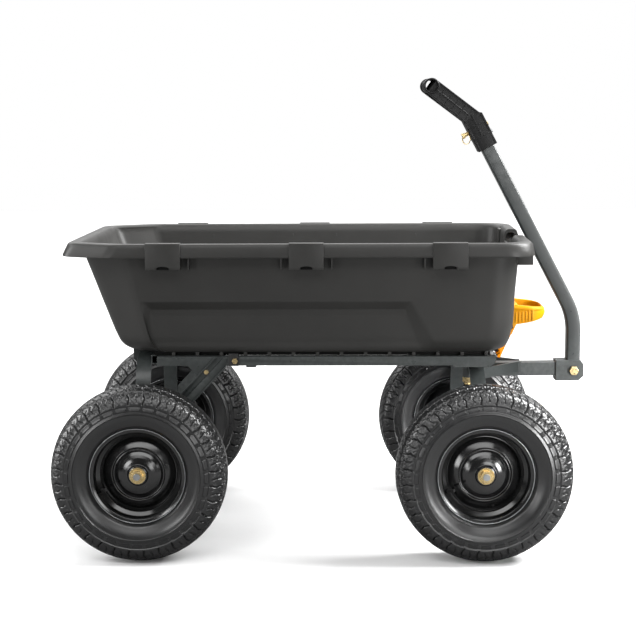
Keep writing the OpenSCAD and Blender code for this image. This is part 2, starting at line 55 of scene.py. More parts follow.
def material(name, base, rough, metal=0.0, spec=0.5, vary=0.25, vary_scale=14.0, rough_vary=0.12, bump=0.15, bump_scale=900.0,
             bump_dist=0.0004, wear=None, wear_at=0.56, wear_amount=0.5, coat=0.0, smudge=(1, 1, 1)):
    """Procedural surface: mottled colour, uneven sheen, fine bump and lighter worn edges, which on the tyre are partly
    a painted highlight.
    """
    m = bpy.data.materials.new(name)
    m.use_nodes = True
    nt = m.node_tree
    p = nt.nodes["Principled BSDF"]
    p.inputs["Metallic"].default_value = metal
    p.inputs["Specular IOR Level"].default_value = spec
    p.inputs["Coat Weight"].default_value = coat
    p.inputs["Coat Roughness"].default_value = 0.08
    co = nt.nodes.new("ShaderNodeTexCoord")
    mp = nt.nodes.new("ShaderNodeMapping")
    mp.inputs["Scale"].default_value = smudge
    nt.links.new(co.outputs["Object"], mp.inputs["Vector"])

    big = nt.nodes.new("ShaderNodeTexNoise")
    big.inputs["Scale"].default_value = vary_scale
    big.inputs["Detail"].default_value = 6.0
    big.inputs["Roughness"].default_value = 0.62
    nt.links.new(mp.outputs["Vector"], big.inputs["Vector"])
    ramp = nt.nodes.new("ShaderNodeValToRGB")
    lo = [max(0.0, c * (1 - vary)) for c in base]
    hi = [min(1.0, c * (1 + vary)) for c in base]
    ramp.color_ramp.elements[0].position = 0.3
    ramp.color_ramp.elements[0].color = (*lo, 1)
    ramp.color_ramp.elements[1].position = 0.7
    ramp.color_ramp.elements[1].color = (*hi, 1)
    nt.links.new(big.outputs["Fac"], ramp.inputs["Fac"])
    colour = ramp.outputs["Color"]

    if wear is not None:
        geo = nt.nodes.new("ShaderNodeNewGeometry")
        edge = nt.nodes.new("ShaderNodeMapRange")
        edge.inputs["From Min"].default_value = wear_at - 0.04
        edge.inputs["From Max"].default_value = wear_at + 0.05
        nt.links.new(geo.outputs["Pointiness"], edge.inputs["Value"])
        rub = nt.nodes.new("ShaderNodeTexNoise")
        rub.inputs["Scale"].default_value = vary_scale * 6
        rub.inputs["Detail"].default_value = 5.0
        nt.links.new(mp.outputs["Vector"], rub.inputs["Vector"])
        mul = nt.nodes.new("ShaderNodeMath")
        mul.operation = "MULTIPLY"
        nt.links.new(edge.outputs["Result"], mul.inputs[0])
        nt.links.new(rub.outputs["Fac"], mul.inputs[1])
        amt = nt.nodes.new("ShaderNodeMath")
        amt.operation = "MULTIPLY"
        amt.inputs[1].default_value = wear_amount
        nt.links.new(mul.outputs[0], amt.inputs[0])
        mix = nt.nodes.new("ShaderNodeMix")
        mix.data_type = "RGBA"
        nt.links.new(amt.outputs[0], mix.inputs["Factor"])
        nt.links.new(colour, mix.inputs[6])
        mix.inputs[7].default_value = (*wear, 1)
        colour = mix.outputs[2]
    nt.links.new(colour, p.inputs["Base Color"])

    mid = nt.nodes.new("ShaderNodeTexNoise")
    mid.inputs["Scale"].default_value = vary_scale * 2.7
    mid.inputs["Detail"].default_value = 8.0
    nt.links.new(mp.outputs["Vector"], mid.inputs["Vector"])
    rr = nt.nodes.new("ShaderNodeMapRange")
    rr.inputs["From Min"].default_value = 0.25
    rr.inputs["From Max"].default_value = 0.75
    rr.inputs["To Min"].default_value = max(0.04, rough - rough_vary)
    rr.inputs["To Max"].default_value = min(1.0, rough + rough_vary)
    nt.links.new(mid.outputs["Fac"], rr.inputs["Value"])
    nt.links.new(rr.outputs["Result"], p.inputs["Roughness"])

    fine = nt.nodes.new("ShaderNodeTexNoise")
    fine.inputs["Scale"].default_value = bump_scale
    fine.inputs["Detail"].default_value = 3.0
    nt.links.new(co.outputs["Object"], fine.inputs["Vector"])
    bp = nt.nodes.new("ShaderNodeBump")
    bp.inputs["Strength"].default_value = bump
    bp.inputs["Distance"].default_value = bump_dist
    nt.links.new(fine.outputs["Fac"], bp.inputs["Height"])
    nt.links.new(bp.outputs["Normal"], p.inputs["Normal"])
    if coat > 0:
        nt.links.new(bp.outputs["Normal"], p.inputs["Coat Normal"])
    return m


M_TUB = material("tub_grain", (0.0310, 0.0305, 0.0290), 0.42, spec=0.30, vary=0.10, vary_scale=5, rough_vary=0.06, bump=0.22, bump_scale=1500,
                 wear=(0.12, 0.118, 0.113), wear_at=0.60, wear_amount=0.35)
M_STEEL = material("gunmetal_paint", (0.0160, 0.0195, 0.0192), 0.34, spec=0.5, vary=0.16, vary_scale=18, rough_vary=0.09, bump=0.12,
                   bump_scale=700, wear=(0.20, 0.215, 0.21), wear_at=0.55, wear_amount=0.55)
M_ZINC = material("yellow_zinc_plate", (0.66, 0.49, 0.22), 0.30, metal=1.0, vary=0.28, vary_scale=60, rough_vary=0.1, bump=0.1,
                  bump_scale=900, wear=(0.85, 0.78, 0.62), wear_at=0.56, wear_amount=0.6)
M_BARE = material("turned_steel", (0.40, 0.41, 0.42), 0.34, metal=1.0, vary=0.2, vary_scale=50, rough_vary=0.1, bump=0.1, bump_scale=1200,
                  wear=(0.7, 0.7, 0.7), wear_at=0.57, wear_amount=0.5)
M_RIM = material("gloss_black_enamel", (0.0036, 0.0037, 0.0038), 0.17, spec=0.85, vary=0.2, vary_scale=20, rough_vary=0.03, bump=0.02,
                 bump_scale=260, bump_dist=0.0003, wear=(0.10, 0.10, 0.10), wear_at=0.58, wear_amount=0.5)
# the tyre's lighter edges are partly rubbed rubber and partly a painted highlight on the lug edges and sidewall dashes
M_TYRE = material("tyre_rubber", (0.0078, 0.0079, 0.0083), 0.31, spec=0.78, vary=0.18, vary_scale=26, rough_vary=0.03, bump=0.07,
                  bump_scale=420, bump_dist=0.0005, wear=(0.06, 0.06, 0.06), wear_at=0.58, wear_amount=0.3)
M_GRIP = material("grip_moulding", (0.0030, 0.0030, 0.0032), 0.48, spec=0.24, vary=0.25, vary_scale=30, rough_vary=0.08, bump=0.02,
                  bump_scale=700, wear=(0.05, 0.05, 0.05), wear_at=0.58, wear_amount=0.4)
M_LEVER = material("lever_yellow", (0.60, 0.255, 0.0005), 0.45, spec=0.14, vary=0.10, vary_scale=24, rough_vary=0.1, bump=0.15,
                   bump_scale=900, wear=(1.0, 0.62, 0.12), wear_at=0.56, wear_amount=0.5)
# painted light: below Z 440 mm the lever is painted a redder, brighter orange that fades into its own colour by Z 512
# mm, standing for light glowing through the plastic at its foot
nt = M_LEVER.node_tree
_co = nt.nodes.new("ShaderNodeTexCoord")
_sx = nt.nodes.new("ShaderNodeSeparateXYZ")
nt.links.new(_co.outputs["Object"], _sx.inputs["Vector"])
_up = nt.nodes.new("ShaderNodeMapRange")
_up.inputs["From Min"].default_value = 0.440
_up.inputs["From Max"].default_value = 0.512
nt.links.new(_sx.outputs["Z"], _up.inputs["Value"])
_mx = nt.nodes.new("ShaderNodeMix")
_mx.data_type = "RGBA"
_from = nt.nodes["Principled BSDF"].inputs["Base Color"].links[0].from_socket
nt.links.new(_up.outputs["Result"], _mx.inputs["Factor"])
_mx.inputs[6].default_value = (0.90, 0.27, 0.003, 1)
nt.links.new(_from, _mx.inputs[7])
nt.links.new(_mx.outputs[2], nt.nodes["Principled BSDF"].inputs["Base Color"])
M_RUBBER = material("black_rubber", (0.014, 0.014, 0.014), 0.62, spec=0.4, vary=0.3, vary_scale=40, rough_vary=0.1, bump=0.2,
                    bump_scale=900, wear=(0.05, 0.05, 0.05), wear_at=0.57, wear_amount=0.5)
M_FLOOR = material("studio_floor", (0.93, 0.93, 0.93), 0.75, spec=0.2, vary=0.01, vary_scale=2, rough_vary=0.05, bump=0.02, bump_scale=200)
# the floor throws little light back up, like a floor far below the lamps
fnt = M_FLOOR.node_tree
f_ray = fnt.nodes.new("ShaderNodeLightPath")
f_dim = fnt.nodes.new("ShaderNodeBsdfDiffuse")
f_dim.inputs["Color"].default_value = (0.22, 0.22, 0.22, 1)
f_mix = fnt.nodes.new("ShaderNodeMixShader")
fnt.links.new(f_ray.outputs["Is Camera Ray"], f_mix.inputs["Fac"])
fnt.links.new(f_dim.outputs["BSDF"], f_mix.inputs[1])
fnt.links.new(fnt.nodes["Principled BSDF"].outputs["BSDF"], f_mix.inputs[2])
fnt.links.new(f_mix.outputs["Shader"], fnt.nodes["Material Output"].inputs["Surface"])
MATS = {"frame_paint": M_STEEL, "bare_steel": M_BARE, "yellow_zinc": M_ZINC, "tub_plastic": M_TUB, "grip_plastic": M_GRIP,
        "lever_plastic": M_LEVER, "rim_paint": M_RIM, "tyre_rubber": M_TYRE, "valve_rubber": M_RUBBER}
# painted shade: near-black plastic for the tie strip under the floor and the boxes behind the clips' slots, standing
# for the shadow there
M_PAINTED_SHADE = material("tub_painted_shade", (0.0030, 0.0030, 0.0028), 0.62, spec=0.12, vary=0.3, vary_scale=12, rough_vary=0.1, bump=0.2, bump_scale=900)
SLOT_OF = {s["node"]: s["material_slot"] for s in frame["record"]["subparts"]}


# ------------------------------------------------------------------ mesh helpers

def add(name, mesh, body, slot, node=None, sharp=35.0, weighted=False):
    """Object in the row frame that rides on a body and, if it is given, stands for a CAD node."""
    mesh.validate()
    mesh.shade_smooth()
    mesh.set_sharp_from_angle(angle=math.radians(sharp))
    mesh.materials.clear()
    mesh.materials.append(MATS[slot])
    o = bpy.data.objects.new(name, mesh)
    bpy.context.scene.collection.objects.link(o)
    if weighted:
        w = o.modifiers.new("weighted", "WEIGHTED_NORMAL")
        w.keep_sharp = True
    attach(o, body)
    if node:
        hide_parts(node)
    return o


def from_arrays(name, verts, faces):
    me = bpy.data.meshes.new(name)
    me.from_pydata([tuple(v) for v in verts], [], [tuple(f) for f in faces])
    me.update()
    return me


def bm_mesh(name, bm):
    bmesh.ops.recalc_face_normals(bm, faces=bm.faces)
    me = bpy.data.meshes.new(name)
    bm.to_mesh(me)
    bm.free()
    return me


def bevel_sharp(bm, width, segments=2, angle=28.0):
    edges = [e for e in bm.edges if len(e.link_faces) == 2 and e.calc_face_angle(0.0) > math.radians(angle)]
    if edges:
        bmesh.ops.bevel(bm, geom=edges, offset=width, offset_type="OFFSET", segments=segments, profile=0.6, affect="EDGES", clamp_overlap=True)


def dress(node, width=1.2, segments=2, angle=28.0):
    """Copy of a CAD node with its sharp edges broken, so that they catch the light."""
    bm = bmesh.new()
    bm.from_mesh(NODES[node].data)
    bmesh.ops.remove_doubles(bm, verts=bm.verts, dist=2e-6)
    bmesh.ops.dissolve_limit(bm, angle_limit=math.radians(0.6), verts=bm.verts, edges=bm.edges)
    bevel_sharp(bm, width * MM, segments, angle)
    me = bm_mesh(node + "_look", bm)
    return add(node + "_look", me, BODY_OF[node], SLOT_OF[node], node, weighted=True)


def box_bm(bm, lo, hi, width=0.0, segments=2, matrix=None):
    """Box between two corners, in millimetres, with broken edges."""
    b = bmesh.new()
    r = bmesh.ops.create_cube(b, size=1.0)
    lo, hi = Vector(lo), Vector(hi)
    for v in b.verts:
        v.co = Vector([(lo[i] + (v.co[i] + 0.5) * (hi[i] - lo[i])) * MM for i in range(3)])
    if width:
        bmesh.ops.bevel(b, geom=list(b.edges), offset=width * MM, offset_type="OFFSET", segments=segments, profile=0.6, affect="EDGES", clamp_overlap=True)
    if matrix is not None:
        b.transform(matrix)
    join(bm, b)


def join(bm, other):
    me = bpy.data.meshes.new("tmp")
    bmesh.ops.recalc_face_normals(other, faces=other.faces)
    other.to_mesh(me)
    other.free()
    bm.from_mesh(me)
    bpy.data.meshes.remove(me)


def prism_bm(pts, y0, y1, width=0.0, segments=2):
    """Prism of an XZ outline between two Y values, in millimetres."""
    b = bmesh.new()
    a = [b.verts.new((x * MM, y0 * MM, z * MM)) for x, z in pts]
    c = [b.verts.new((x * MM, y1 * MM, z * MM)) for x, z in pts]
    n = len(pts)
    b.faces.new(a)
    b.faces.new(list(reversed(c)))
    for i in range(n):
        b.faces.new((a[i], c[i], c[(i + 1) % n], a[(i + 1) % n]))
    bmesh.ops.recalc_face_normals(b, faces=b.faces)
    if width:
        bevel_sharp(b, width * MM, segments, 12.0)
    return b


def revolve_bm(profile, n, axis="Y"):
    """Closed (radius, axial) outline turned about an axis, in millimetres."""
    b = bmesh.new()
    rings = []
    for k in range(n):
        a = 2 * math.pi * k / n
        c, s = math.cos(a), math.sin(a)
        if axis == "Y":
            rings.append([b.verts.new((r * c * MM, y * MM, r * s * MM)) for r, y in profile])
        else:
            rings.append([b.verts.new((r * c * MM, r * s * MM, y * MM)) for r, y in profile])
    m = len(profile)
    for k in range(n):
        p, q = rings[k], rings[(k + 1) % n]
        for i in range(m):
            j = (i + 1) % m
            b.faces.new((p[i], p[j], q[j], q[i]))
    return b


def fillet(points, radius, steps=5, closed=True):
    """Polyline with its corners rounded."""
    pts = [np.array(p[:2], float) for p in points]
    out = []
    n = len(pts)
    for i in range(n):
        if not closed and i in (0, n - 1):
            out.append(tuple(pts[i]))
            continue
        p, a, b = pts[i], pts[i - 1], pts[(i + 1) % n]
        r = points[i][2] if len(points[i]) > 2 else radius
        u, v = a - p, b - p
        lu, lv = np.linalg.norm(u), np.linalg.norm(v)
        u, v = u / lu, v / lv
        ang = math.acos(max(-1, min(1, float(u @ v))))
        if ang > math.radians(176) or r <= 0:
            out.append(tuple(p))
            continue
        t = min(r / math.tan(ang / 2), 0.48 * lu, 0.48 * lv)
        rr = t * math.tan(ang / 2)
        c = p + (u + v) / np.linalg.norm(u + v) * (rr / math.sin(ang / 2))
        s, e = p + u * t - c, p + v * t - c
        a0 = math.atan2(s[1], s[0])
        d = math.atan2(s[0] * e[1] - s[1] * e[0], float(s @ e))
        for k in range(steps + 1):
            q = a0 + d * k / steps
            out.append((c[0] + rr * math.cos(q), c[1] + rr * math.sin(q)))
    return out


def boolean(obj_mesh, cutters, name):
    """obj_mesh minus the cutter meshes, as a new mesh."""
    o = bpy.data.objects.new(name + "_tmp", obj_mesh)
    bpy.context.scene.collection.objects.link(o)
    made = []
    for i, c in enumerate(cutters):
        co = bpy.data.objects.new(f"{name}_cut{i}", c)
        bpy.context.scene.collection.objects.link(co)
        made.append(co)
        md = o.modifiers.new(f"cut{i}", "BOOLEAN")
        md.operation = "DIFFERENCE"
        md.solver = "EXACT"
        md.object = co
    dg = bpy.context.evaluated_depsgraph_get()
    dg.update()
    me = bpy.data.meshes.new_from_object(o.evaluated_get(dg))
    for co in made + [o]:
        bpy.data.objects.remove(co)
    return me


# ------------------------------------------------------------------ tub

def interp(z, table):
    zs, vs = zip(*table)
    return float(np.interp(z, zs, vs))


REAR = [(473, -440), (474.5, -449), (477, -459), (482, -470), (490, -479.5), (501, -486.5), (518, -494), (538, -501.7), (560, -510),
        (594, -523), (640, -540), (682, -556), (720, -570)]
FRONT = [(473, 398), (474.5, 405), (477, 412), (481, 419), (490, 424.5), (500, 428), (510, 430.3), (528, 434.6), (555, 436.5), (592, 437.4),
         (617, 439), (647, 441.5), (664, 443), (700, 445.5), (720, 447)]
HALF = [(473, 246), (474.5, 250), (478, 256), (484, 264), (490, 270), (496, 274), (503, 276.5), (538, 281), (594, 287), (695, 299.5), (720, 302)]


def arc(c, r, a0, a1, n):
    return [(c[0] + r * math.cos(math.radians(a0 + (a1 - a0) * i / n)), c[1] + r * math.sin(math.radians(a0 + (a1 - a0) * i / n))) for i in range(n + 1)]


N_REAR, N_ARC, N_CH, N_SIDE, N_FA, N_FRONT = 14, 7, 6, 190, 14, 22


def ring(x0, x1, h, f, rf):
    """Plan outline: rear edge, bevelled rear corner, side, rounded front corner, front edge, then the other side."""
    r1, k1, k2, r2 = 40 * f, 83.4 * f, 130 * f, 60 * f
    a = arc((x0 + r1, h - k1), r1, 180, 117, N_ARC)
    b = arc((x0 + k2, h - r2), r2, 117, 90, N_ARC)
    c = arc((x1 - rf, h - rf), rf, 90, 0, N_FA)
    pts = [(x0, a[0][1] * i / N_REAR) for i in range(N_REAR)]
    pts += a
    pts += [(a[-1][0] + (b[0][0] - a[-1][0]) * i / N_CH, a[-1][1] + (b[0][1] - a[-1][1]) * i / N_CH) for i in range(1, N_CH)]
    pts += b
    s0 = len(pts)
    pts += [(b[-1][0] + (c[0][0] - b[-1][0]) * i / N_SIDE, h) for i in range(1, N_SIDE)]
    s1 = len(pts)
    pts += c
    pts += [(x1, c[-1][1] * (1 - i / N_FRONT)) for i in range(1, N_FRONT + 1)]
    left = pts
    right = [(x, -y) for x, y in reversed(pts[1:-1])]
    return left + right, s0, s1


def relief(x, z):
    """How far the lower side wall is set back: a ledge along its top and a slanted end at the front."""
    a = min(1.0, max(0.0, (590 - z) / 24.0))
    xr = 196 + (590 - z) * 60 / 106
    xl = 172 + (590 - z) * 44 / 106
    b = min(1.0, max(0.0, (xr - x) / max(1.0, xr - xl)))
    c = min(1.0, max(0.0, (x + 424) / 26.0))
    c = c * c * (3 - 2 * c)
    bottom = min(1.0, max(0.0, (z - 474) / 20.0))
    return 15.0 * min(a, b, c) * bottom


def build_tub():
    rings = []

    def drop(z):
        return z - 6.0 * max(0.0, 503 - z) / 30.0

    def put(z, x0, x1, h, f, rf, rel=False):
        pts, s0, s1 = ring(x0, x1, h, f, rf)
        n = len(pts)
        half = n // 2
        out = []
        for i, (x, y) in enumerate(pts):
            k = i if i <= half else n - i
            if rel and s0 - 1 <= k <= s1:
                d = relief(x, z)
                y = y - d if y > 0 else y + d
            out.append((x * MM, y * MM, (drop(z) if rel else z) * MM))
        rings.append(out)

    zs = [473, 473.6, 474.5, 476, 478, 481, 484.5, 488, 492, 496, 500, 505, 511, 518, 526, 534, 542, 550, 556, 560, 562, 563.5, 566, 570, 574, 578,
          582, 586, 588.5, 590, 592, 596, 604, 615, 630, 645, 660, 675, 690, 703, 711]
    for z in zs:
        t = min(1.0, max(0.0, (z - 473) / 240))
        put(z, interp(z, REAR), interp(z, FRONT), interp(z, HALF), 0.60 + 0.30 * t, 58 + 4 * t, rel=True)
    # under the rim, down the inside of the lip, round its foot and up its face
    for z, x0, x1, h in [(714.5, -569.5, 448, 302.6), (716.6, -572, 450, 305), (717.4, -580, 456, 310.5), (717, -590, 464, 317.5), (714, -593.5, 467.5, 319),
                         (698.5, -602.5, 473.6, 321.8), (694.5, -604.6, 475.3, 322.6), (693.5, -606.6, 476.9, 324), (693.7, -608.6, 478.8, 325.6),
                         (695.1, -609.8, 480, 326.6), (697.5, -609.4, 480, 326.8), (708, -604.7, 477.6, 325.4), (716, -600.8, 475.2, 324),
                         (721, -598.4, 473.4, 322.8), (723.6, -596.6, 471.8, 321.4), (725.2, -594, 469.6, 319.6), (725.9, -590.5, 467, 317), (726, -585, 461, 313),
                         (725.8, -575.5, 453, 306), (725.2, -572, 449.6, 304), (723.6, -569.6, 447.2, 302.2), (721, -567.6, 445, 300.6)]:
        put(z, x0, x1, h, 1.0 if z > 717 or x0 < -582 else 0.94, 66 if x0 < -578 else 62)
    for z in [715, 705, 690, 670, 650, 630, 610, 590, 570, 550, 530, 512, 500, 493, 488, 484.5, 482, 480.2, 479, 478.3, 478]:
        t = min(1.0, max(0.0, (z - 473) / 240))
        k = 5.0 if z > 500 else 5.0 + (500 - z) * 0.25
        put(z, interp(z, REAR) + k, interp(z, FRONT) - k, interp(z, HALF) - k - (11 if z < 555 else 11 * max(0, (600 - z) / 45)), 0.57 + 0.30 * t, 54 + 4 * t)
    n = len(rings[0])
    verts = [v for r in rings for v in r]
    faces = []
    for k in range(len(rings) - 1):
        for i in range(n):
            j = (i + 1) % n
            faces.append((k * n + i, k * n + j, (k + 1) * n + j, (k + 1) * n + i))
    # underside and floor, as strips between the two sides
    for base, flip in ((0, True), ((len(rings) - 1) * n, False)):
        for i in range(n // 2):
            a, b, c, d = base + i, base + i + 1, base + (n - i - 1) % n, base + (n - i) % n
            q = [a, b, c, d]
            q = [v for s, v in enumerate(q) if v not in q[:s]]
            if len(q) > 2:
                faces.append(tuple(reversed(q)) if flip else tuple(q))
    me = from_arrays("tub_shell", verts, faces)
    bm = bmesh.new()
    bm.from_mesh(me)
    bmesh.ops.remove_doubles(bm, verts=bm.verts, dist=1e-6)
    bmesh.ops.recalc_face_normals(bm, faces=bm.faces)
    bm.to_mesh(me)
    bm.free()
    cuts = []
    for lo in ((350, -95, 697), (456, -95, 640)):
        b = bmesh.new()
        box_bm(b, lo, (540, 95, 800), 0)
        cuts.append(bm_mesh("rim_gap", b))
    me = boolean(me, cuts, "tub")
    o = add("tub_shell", me, "tub", "tub_plastic", "tub", sharp=34)
    return o


def build_clips():
    """Blocks that stand out from the rim, each with a slot at its foot backed by a box in painted shade, and the fins
    beside them.
    """
    bm = bmesh.new()
    shade = bmesh.new()
    for cx in (-367.3, -41.6, 284.0):
        b = prism_bm([(296, 668), (329.2, 668), (330, 674), (330, 727), (328.6, 728.2), (312, 728.2), (309, 726), (303, 717), (296, 700)], -39.5, 39.5, 1.3, 2)
        b.transform(Matrix(((0, 1, 0, cx * MM), (1, 0, 0, 0), (0, 0, 1, 0), (0, 0, 0, 1))))
        me = bm_mesh("clip", b)
        cut = bmesh.new()
        pts = [(-15, 660), (-15, 672.5)] + [(15 * math.cos(math.radians(180 - 180 * i / 10)) * 0.86, 672.5 + 3.2 * math.sin(math.radians(180 * i / 10))) for i in range(11)] + [(15, 672.5), (15, 660)]
        cut = prism_bm(pts, 298, 340)
        cut.transform(Matrix.Translation((cx * MM, 0, 0)))
        me = boolean(me, [bm_mesh("clip_slot", cut)], "clip")
        bm.from_mesh(me)
        # painted shade: a near-black box behind each slot stands for the shadow inside it
        box_bm(shade, ((cx - 13.4), 317, 667.6), ((cx + 13.4), 322.5, 676.4), 0.4)
        # fins beside the clip, from the wall out to the lip
        for s in ((-1, 1) if cx == -41.6 else ((1,) if cx < 0 else (-1,))):
            x = cx + s * 57.5
            box_bm(bm, (x - 1.5, 294, 668), (x + 1.5, 320, 700), 0.6)
    other = bm.copy()
    other.transform(Matrix.Scale(-1, 4, (0, 1, 0)))
    bmesh.ops.reverse_faces(other, faces=other.faces)
    join(bm, other)
    other = shade.copy()
    other.transform(Matrix.Scale(-1, 4, (0, 1, 0)))
    bmesh.ops.reverse_faces(other, faces=other.faces)
    join(shade, other)
    # the boxes behind the slots take the painted-shade material
    o = add("tub_clip_slot_shade", bm_mesh("tub_clip_slot_shade", shade), "tub", "tub_plastic", sharp=30)
    o.data.materials[0] = M_PAINTED_SHADE
    me = bm_mesh("tub_clips", bm)
    return add("tub_clips", me, "tub", "tub_plastic", sharp=30)


def build_tub_feet():
    """Ribs under the floor that stand on the rails, a tie strip in painted shade, and the stops under the front corners
    of the lip.
    """
    bm = bmesh.new()
    tie = bmesh.new()
    for s in (-1, 1):
        for i in range(-4, 10):
            x = -178 + i * 56
            y0, y1 = sorted((s * 236.5, s * 246.5))
            box_bm(bm, (x + 42, y0, 458.5), (x + 50, y1, 472), 1.2)
        # the tie strip gets the near-black painted-shade material, standing for the shadow under the tub
        y0, y1 = sorted((s * 230.3, s * 237))
        box_bm(tie, (-401.7, y0, 458.6), (375.7, y1, 472), 0.8)
        y0, y1 = sorted((s * 200.3, s * 249.8))
        box_bm(bm, (437, y0, 669.2), (478, y1, 718), 1.8)
    o = add("tub_tie", bm_mesh("tub_tie", tie), "tub", "tub_plastic", sharp=30)
    o.data.materials[0] = M_PAINTED_SHADE
    me = bm_mesh("tub_feet", bm)
    return add("tub_feet", me, "tub", "tub_plastic", sharp=30)


build_tub()
build_clips()
build_tub_feet()


# ------------------------------------------------------------------ wheels

def tri(x):
    return 2 * np.abs(2 * (x - np.floor(x + 0.5))) - 1


def tyre_mesh():
    """Carcass with a moulded all-terrain tread: zig-zag grooves and cuts, shoulder lugs and a ring of dashes on the sidewall."""
    outer = np.array([(102, 36.4), (104.6, 39.4), (108, 40.4), (110.8, 41.6), (114, 48), (122, 56.8), (136, 63.8), (150, 66.2), (160, 65.9), (171, 64.0), (181, 60.0),
                      (190, 53), (196, 44), (199.6, 33), (201.8, 20), (202.8, 9), (203, 0)])
    full = np.vstack([outer, outer[-2::-1] * [1, -1]])
    seg = np.r_[0, np.cumsum(np.hypot(*np.diff(full, axis=0).T))]
    dense = np.linspace(0, seg[-1], 2400)
    # smooth the outline
    from_r, from_y = np.interp(dense, seg, full[:, 0]), np.interp(dense, seg, full[:, 1])
    ker = np.hanning(121)
    ker /= ker.sum()
    pad = 60
    sm = lambda q: np.convolve(np.r_[np.full(pad, q[0]), q, np.full(pad, q[-1])], ker, "valid")
    r_d, y_d = sm(from_r), sm(from_y)
    r_d[:60], y_d[:60], r_d[-60:], y_d[-60:] = from_r[:60], from_y[:60], from_r[-60:], from_y[-60:]
    mid = dense[-1] / 2
    shoulder = np.interp(167, r_d[:1200], dense[:1200])
    side = np.r_[np.linspace(0, dense[np.searchsorted(r_d[:1200], 143)], 16)[:-1], np.linspace(dense[np.searchsorted(r_d[:1200], 143)], shoulder, 22)[:-1]]
    tread = np.linspace(shoulder, dense[-1] - shoulder, 70)
    stations = np.r_[side, tread, (dense[-1] - side)[::-1]]
    R = np.interp(stations, dense, r_d)
    Y = np.interp(stations, dense, y_d)
    dR, dY = np.gradient(R, stations), np.gradient(Y, stations)
    ln = np.hypot(dR, dY)
    nr, ny = -dY / ln, dR / ln           # outward normal of the outline
    s = (stations - mid) / (mid - shoulder)
    NT = 1152
    th = np.linspace(0, 2 * np.pi, NT, endpoint=False)
    P = 32
    ph = th * P / (2 * np.pi)
    S, PH = np.meshgrid(s, ph)           # NT x stations
    RR = np.broadcast_to(R, S.shape)
    A = np.abs(S)
    depth = np.zeros_like(S)

    def groove(dist, half, d):
        return d * np.clip(1.35 - np.abs(dist) / half, 0, 1)

    in_tread = np.clip((1.0 - A) / 0.03, 0, 1)
    shift = np.where(S > 0, 0.0, 0.5)
    # lugs on the shoulder, divided by cuts that run out to the sidewall
    lat = PH + shift + 0.05 * tri(A * 3.1) + 0.10 * A
    sh = np.clip((A - 0.56) / 0.03, 0, 1)
    g = groove(lat - np.round(lat), 0.050, 3.8) * sh
    half_cut = PH + shift + 0.5 + 0.04 * tri(A * 5.2) + 0.10 * A
    g = np.maximum(g, groove(half_cut - np.round(half_cut), 0.032, 2.4) * sh * np.clip((0.92 - A) / 0.02, 0, 1))
    # fine zig-zag sipes across the lugs
    sipe = PH * 3 + 0.5 * shift + 0.42 * tri(A * 5.0)
    g = np.maximum(g, groove(sipe - np.round(sipe), 0.085, 1.5) * np.clip((A - 0.20) / 0.03, 0, 1) * np.clip((0.95 - A) / 0.03, 0, 1))
    # crown blocks between zig-zag grooves
    cr = np.clip((0.56 - A) / 0.03, 0, 1)
    lat2 = PH * 2 + 0.5 * (S > 0) + 0.22 * tri(S * 3.0) + 0.5 * S
    g = np.maximum(g, groove(lat2 - np.round(lat2), 0.060, 3.6) * cr)
    g = np.maximum(g, groove(A - 0.56 - 0.030 * tri(PH * 2.0 + shift), 0.022, 4.2))
    g = np.maximum(g, groove(A - 0.24 - 0.030 * tri(PH * 2.0 + shift), 0.020, 4.2))
    depth += g * in_tread
    # sidewall: everything between the beads and the tread sits a little low, with dashes and one ring left proud
    side_w = np.clip((A - 1.0) / 0.03, 0, 1) * np.clip((RR - 116) / 6, 0, 1)
    low = 2.7 * side_w
    dash_r = np.clip((RR - 154.6) / 0.8, 0, 1) * np.clip((165.0 - RR) / 9.6, 0, 1)
    dash_t = np.clip((0.38 - np.abs(PH - np.round(PH))) / 0.03, 0, 1)
    ring1 = np.clip((RR - 144.6) / 1.4, 0, 1) * np.clip((152.4 - RR) / 6.4, 0, 1) * 0.95
    low = low * (1 - np.maximum(dash_r * dash_t, ring1))
    depth += low
    RX = R[None, :] - depth * nr[None, :] * 1.0
    YX = Y[None, :] - depth * ny[None, :] * 1.0
    m = len(stations)
    V = np.zeros((NT, m, 3))
    V[:, :, 0] = RX * np.cos(th)[:, None]
    V[:, :, 1] = YX
    V[:, :, 2] = RX * np.sin(th)[:, None]
    # inner skin between the beads
    inner = np.array([(102, -30), (112, -34), (128, -48), (150, -56), (172, -53), (186, -42), (193, -20), (193, 20), (186, 42), (172, 53), (150, 56), (128, 48), (112, 34), (102, 30)])
    k = len(inner)
    W = np.zeros((NT, k, 3))
    W[:, :, 0] = inner[None, :, 0] * np.cos(th)[:, None]
    W[:, :, 1] = inner[None, :, 1]
    W[:, :, 2] = inner[None, :, 0] * np.sin(th)[:, None]
    ALL = np.concatenate([V, W], axis=1)          # outer from +38.5 to -38.5, then inner from -30 to +30
    tot = m + k
    idx = np.arange(NT * tot).reshape(NT, tot)
    a = idx
    b = np.roll(idx, -1, axis=1)
    c = np.roll(b, -1, axis=0)
    d = np.roll(a, -1, axis=0)
    faces = np.stack([a, b, c, d], axis=-1).reshape(-1, 4)
    me = bpy.data.meshes.new("tyre_tread")
    co = (ALL.reshape(-1, 3) * MM).astype(np.float32)
    me.vertices.add(len(co))
    me.vertices.foreach_set("co", co.ravel())
    me.loops.add(faces.size)
    me.polygons.add(len(faces))
    me.loops.foreach_set("vertex_index", faces.ravel().astype(np.int32))
    me.polygons.foreach_set("loop_start", np.arange(0, faces.size, 4, dtype=np.int32))
    me.update(calc_edges=True)
    bm = bmesh.new()
    bm.from_mesh(me)
    bmesh.ops.recalc_face_normals(bm, faces=bm.faces)
    bm.to_mesh(me)
    bm.free()
    return me


